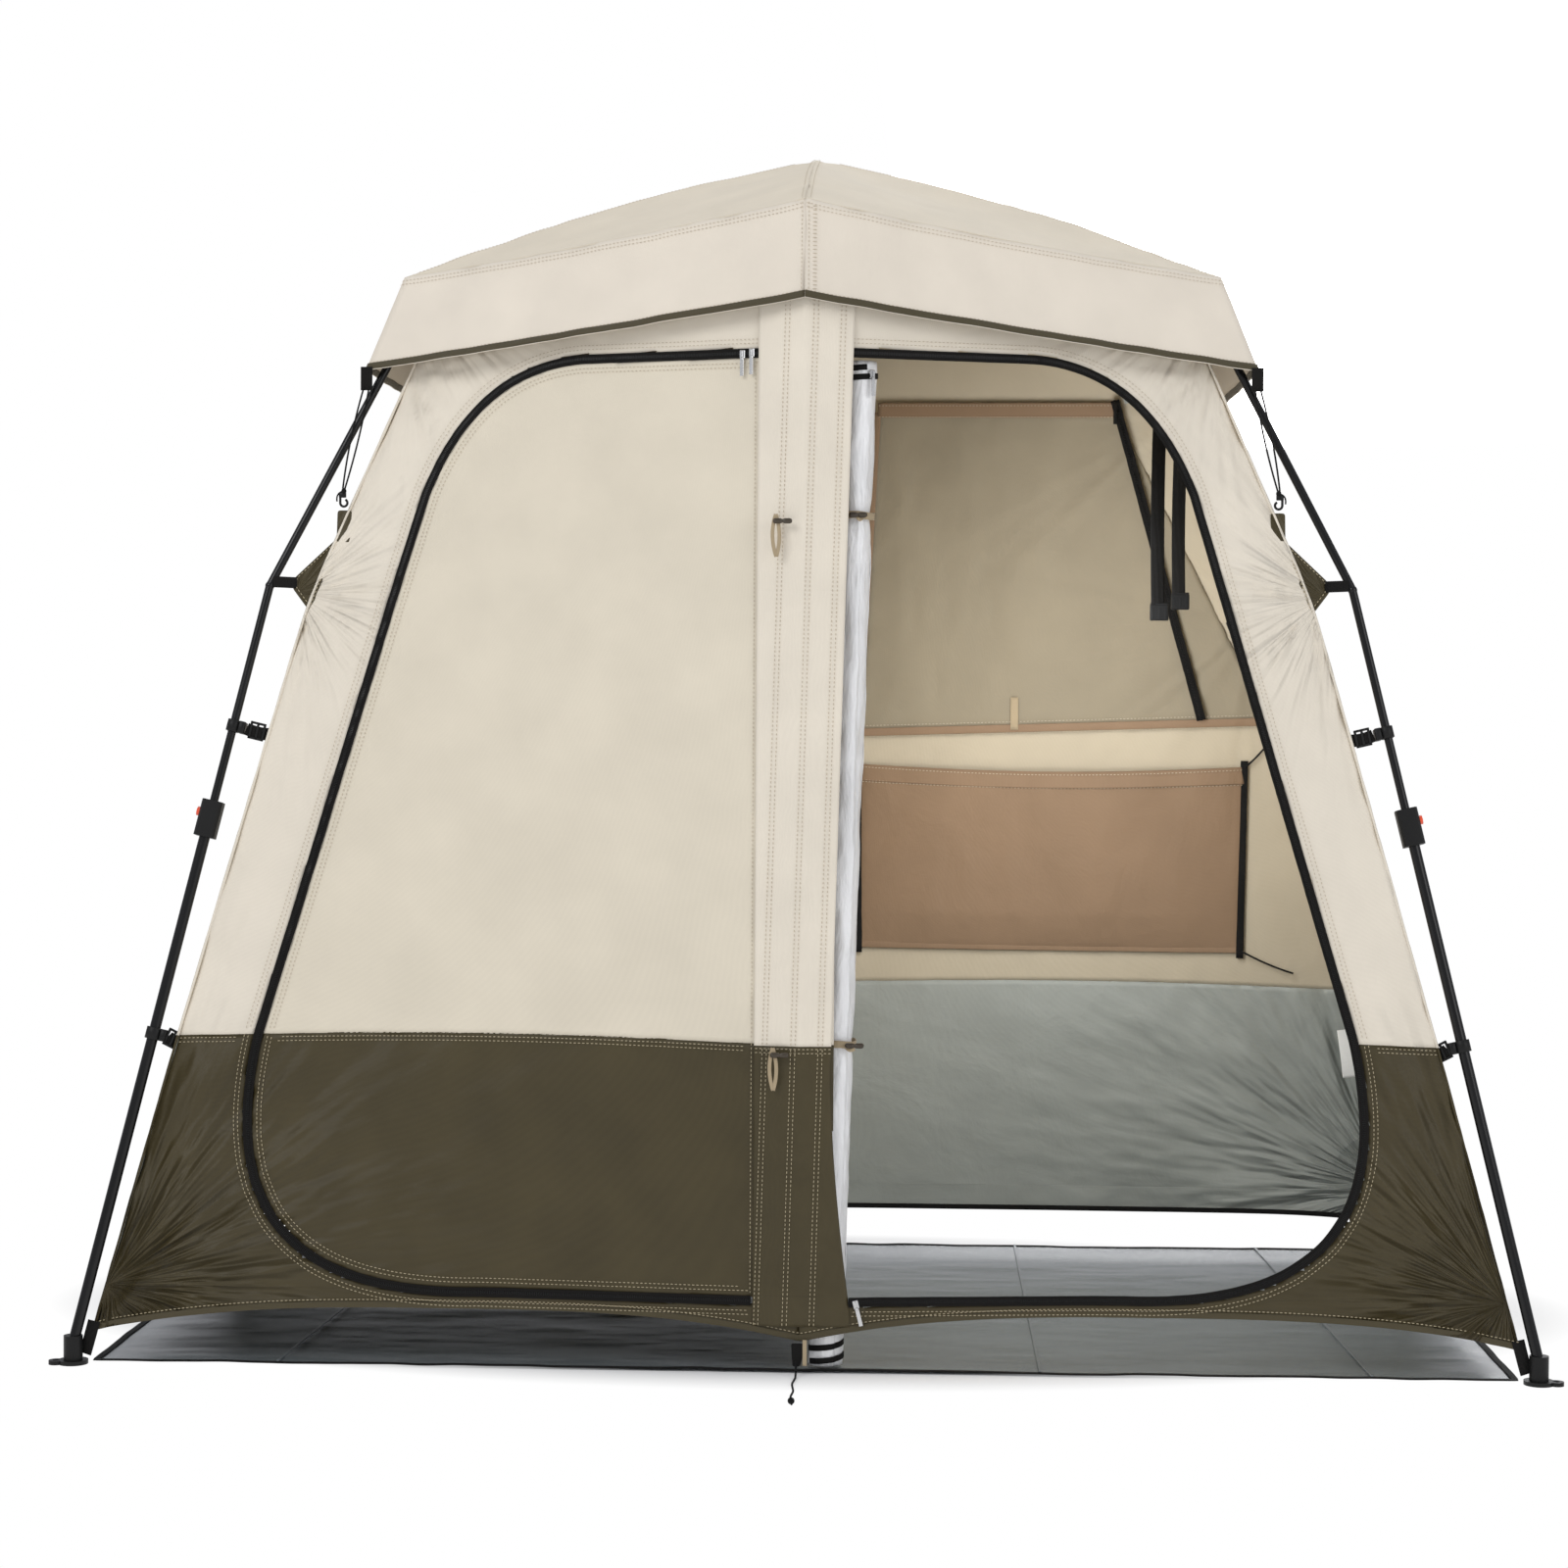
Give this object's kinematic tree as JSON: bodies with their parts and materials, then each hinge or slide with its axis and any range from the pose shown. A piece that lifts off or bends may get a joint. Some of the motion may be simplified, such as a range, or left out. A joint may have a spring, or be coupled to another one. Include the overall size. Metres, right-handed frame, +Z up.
{
  "type": "privacy shower tent",
  "caption": "Two-room pop-up shower and changing tent with an outside telescopic hub frame, roof cap, zipped doors, rear windows and a groundsheet.",
  "frame": {"origin": "on the ground under the hub, at the middle of the four feet", "axes": "+X to the right along the front, +Y to the back, +Z up"},
  "size_m": [2.224, 1.339, 1.88],
  "materials": {
    "beige_fabric": "matt coated polyester",
    "olive_fabric": "matt polyester",
    "roof_fabric": "coated polyester",
    "lining_fabric": "taffeta",
    "silver_fabric": "silver coated polyester",
    "ground_fabric": "silver grey oxford cloth",
    "webbing": "black webbing",
    "zip_tape": "black coil zip",
    "black_plastic": "moulded",
    "brown_plastic": "moulded",
    "black_tube": "gloss black",
    "orange_plastic": "moulded",
    "pocket_fabric": "taffeta",
    "flap_fabric": "taffeta",
    "cord": "braided cord"
  },
  "bodies": {
    "shell": {"groundsheet": "ground_fabric", "wall_front_left": "beige_fabric", "wall_front_right": "beige_fabric", "wall_back": "beige_fabric", "wall_left": "beige_fabric", "wall_right": "beige_fabric", "band_front_left": "olive_fabric", "band_front_right": "olive_fabric", "band_back": "olive_fabric", "band_left": "olive_fabric", "band_right": "olive_fabric", "centre_strip": "beige_fabric", "roof_cap": "roof_fabric", "roof_valance": "roof_fabric", "zip_left": "zip_tape", "zip_right": "zip_tape", "rolled_door": "silver_fabric", "tie_loops": "lining_fabric", "tie_toggles": "brown_plastic", "window_flaps": "flap_fabric", "room_divider": "lining_fabric", "storage_pocket": "pocket_fabric", "corner_gussets": "olive_fabric", "leg_straps": "webbing", "leg_clips": "black_plastic", "cap_tethers": "cord", "guy_tab": "webbing", "guy_cord": "cord", "guy_knot": "cord"},
    "door": {"door_left": "beige_fabric"},
    "hanging_strap_a": {"strap_a": "webbing"},
    "hanging_strap_b": {"strap_b": "webbing"},
    "hub": {"hub": "black_plastic", "hub_cap": "black_plastic"},
    "front_arm": {"arm_front": "black_tube"},
    "back_arm": {"arm_back": "black_tube"},
    "corner_arm_fl": {"arm_fl": "black_tube"},
    "upper_leg_fl": {"upper_leg_fl": "black_tube"},
    "lower_leg_fl": {"lower_leg_fl": "black_tube", "lock_fl": "black_plastic", "foot_fl": "black_plastic"},
    "button_fl": {"button_fl": "orange_plastic"},
    "corner_arm_fr": {"arm_fr": "black_tube"},
    "upper_leg_fr": {"upper_leg_fr": "black_tube"},
    "lower_leg_fr": {"lower_leg_fr": "black_tube", "lock_fr": "black_plastic", "foot_fr": "black_plastic"},
    "button_fr": {"button_fr": "orange_plastic"},
    "corner_arm_bl": {"arm_bl": "black_tube"},
    "upper_leg_bl": {"upper_leg_bl": "black_tube"},
    "lower_leg_bl": {"lower_leg_bl": "black_tube", "lock_bl": "black_plastic", "foot_bl": "black_plastic"},
    "button_bl": {"button_bl": "orange_plastic"},
    "corner_arm_br": {"arm_br": "black_tube"},
    "upper_leg_br": {"upper_leg_br": "black_tube"},
    "lower_leg_br": {"lower_leg_br": "black_tube", "lock_br": "black_plastic", "foot_br": "black_plastic"},
    "button_br": {"button_br": "orange_plastic"}
  },
  "joints": [
    {"name": "hub_drop", "type": "slide", "parent": "shell", "child": "hub", "axis": [0, 0, -1], "range_m": [0, 0.735], "deforming": ["wall_front_left", "wall_front_right", "wall_back", "wall_left", "wall_right", "band_front_left", "band_front_right", "band_back", "band_left", "band_right", "centre_strip", "roof_cap", "roof_valance", "zip_left", "zip_right", "rolled_door", "tie_loops", "tie_toggles", "window_flaps", "room_divider", "storage_pocket", "corner_gussets", "leg_straps", "leg_clips", "cap_tethers", "door_left", "strap_a", "strap_b"]},
    {"name": "arm_lift_fl", "type": "hinge", "parent": "hub", "child": "corner_arm_fl", "pos_m": [-0.05097, -0.02552, 1.8], "axis": [-0.4478, 0.8942, 0], "range_deg": [0, 102.42]},
    {"name": "leg_fold_fl", "type": "hinge", "parent": "corner_arm_fl", "child": "upper_leg_fl", "pos_m": [-0.60069, -0.3008, 1.60148], "axis": [-0.4478, 0.8942, 0], "range_deg": [-121.03, 0]},
    {"name": "leg_slide_fl", "type": "slide", "parent": "upper_leg_fl", "child": "lower_leg_fl", "axis": [0.2196, 0.1393, 0.9656], "range_m": [0, 0.28]},
    {"name": "button_press_fl", "type": "slide", "parent": "lower_leg_fl", "child": "button_fl", "axis": [0.9755, -0.0156, -0.2196], "range_m": [0, 0.003], "stiffness_N_per_m": 400},
    {"name": "arm_lift_fr", "type": "hinge", "parent": "hub", "child": "corner_arm_fr", "pos_m": [0.05097, -0.02552, 1.8], "axis": [-0.4478, -0.8942, 0], "range_deg": [0, 102.42]},
    {"name": "leg_fold_fr", "type": "hinge", "parent": "corner_arm_fr", "child": "upper_leg_fr", "pos_m": [0.60069, -0.3008, 1.60148], "axis": [-0.4478, -0.8942, 0], "range_deg": [-121.03, 0]},
    {"name": "leg_slide_fr", "type": "slide", "parent": "upper_leg_fr", "child": "lower_leg_fr", "axis": [-0.2196, 0.1393, 0.9656], "range_m": [0, 0.28]},
    {"name": "button_press_fr", "type": "slide", "parent": "lower_leg_fr", "child": "button_fr", "axis": [-0.9755, -0.0156, -0.2196], "range_m": [0, 0.003], "stiffness_N_per_m": 400},
    {"name": "arm_lift_bl", "type": "hinge", "parent": "hub", "child": "corner_arm_bl", "pos_m": [-0.05097, 0.02552, 1.8], "axis": [0.4478, 0.8942, 0], "range_deg": [0, 102.42]},
    {"name": "leg_fold_bl", "type": "hinge", "parent": "corner_arm_bl", "child": "upper_leg_bl", "pos_m": [-0.60069, 0.3008, 1.60148], "axis": [0.4478, 0.8942, 0], "range_deg": [-121.03, 0]},
    {"name": "leg_slide_bl", "type": "slide", "parent": "upper_leg_bl", "child": "lower_leg_bl", "axis": [0.2196, -0.1393, 0.9656], "range_m": [0, 0.28]},
    {"name": "button_press_bl", "type": "slide", "parent": "lower_leg_bl", "child": "button_bl", "axis": [0.9755, 0.0156, -0.2196], "range_m": [0, 0.003], "stiffness_N_per_m": 400},
    {"name": "arm_lift_br", "type": "hinge", "parent": "hub", "child": "corner_arm_br", "pos_m": [0.05097, 0.02552, 1.8], "axis": [0.4478, -0.8942, 0], "range_deg": [0, 102.42]},
    {"name": "leg_fold_br", "type": "hinge", "parent": "corner_arm_br", "child": "upper_leg_br", "pos_m": [0.60069, 0.3008, 1.60148], "axis": [0.4478, -0.8942, 0], "range_deg": [-121.03, 0]},
    {"name": "leg_slide_br", "type": "slide", "parent": "upper_leg_br", "child": "lower_leg_br", "axis": [-0.2196, -0.1393, 0.9656], "range_m": [0, 0.28]},
    {"name": "button_press_br", "type": "slide", "parent": "lower_leg_br", "child": "button_br", "axis": [-0.9755, 0.0156, -0.2196], "range_m": [0, 0.003], "stiffness_N_per_m": 400},
    {"name": "arm_lift_front", "type": "hinge", "parent": "hub", "child": "front_arm", "pos_m": [0, -0.057, 1.8], "axis": [-1, 0, 0], "range_deg": [0, 97.5]},
    {"name": "arm_lift_back", "type": "hinge", "parent": "hub", "child": "back_arm", "pos_m": [0, 0.057, 1.8], "axis": [1, 0, 0], "range_deg": [0, 97.5]},
    {"name": "door_swing", "type": "hinge", "parent": "shell", "child": "door", "pos_m": [-0.048, -0.5525, 0.8], "axis": [0, 0, 1], "range_deg": [0, 90]},
    {"name": "strap_swing_a", "type": "hinge", "parent": "shell", "child": "hanging_strap_a", "pos_m": [0.558, -0.059, 1.52], "axis": [0, 1, 0], "range_deg": [-25, 25]},
    {"name": "strap_swing_b", "type": "hinge", "parent": "shell", "child": "hanging_strap_b", "pos_m": [0.602, 0.061, 1.455], "axis": [0, 1, 0], "range_deg": [-15, 25]}
  ],
  "couplings": [
    {"joint": "arm_lift_fl", "follows": "hub_drop", "rad_per_m": 2.4202},
    {"joint": "leg_fold_fl", "follows": "hub_drop", "rad_per_m": -2.8622},
    {"joint": "arm_lift_fr", "follows": "hub_drop", "rad_per_m": 2.4202},
    {"joint": "leg_fold_fr", "follows": "hub_drop", "rad_per_m": -2.8622},
    {"joint": "arm_lift_bl", "follows": "hub_drop", "rad_per_m": 2.4202},
    {"joint": "leg_fold_bl", "follows": "hub_drop", "rad_per_m": -2.8622},
    {"joint": "arm_lift_br", "follows": "hub_drop", "rad_per_m": 2.4202},
    {"joint": "leg_fold_br", "follows": "hub_drop", "rad_per_m": -2.8622},
    {"joint": "arm_lift_front", "follows": "hub_drop", "rad_per_m": 2.3034},
    {"joint": "arm_lift_back", "follows": "hub_drop", "rad_per_m": 2.3034}
  ]
}
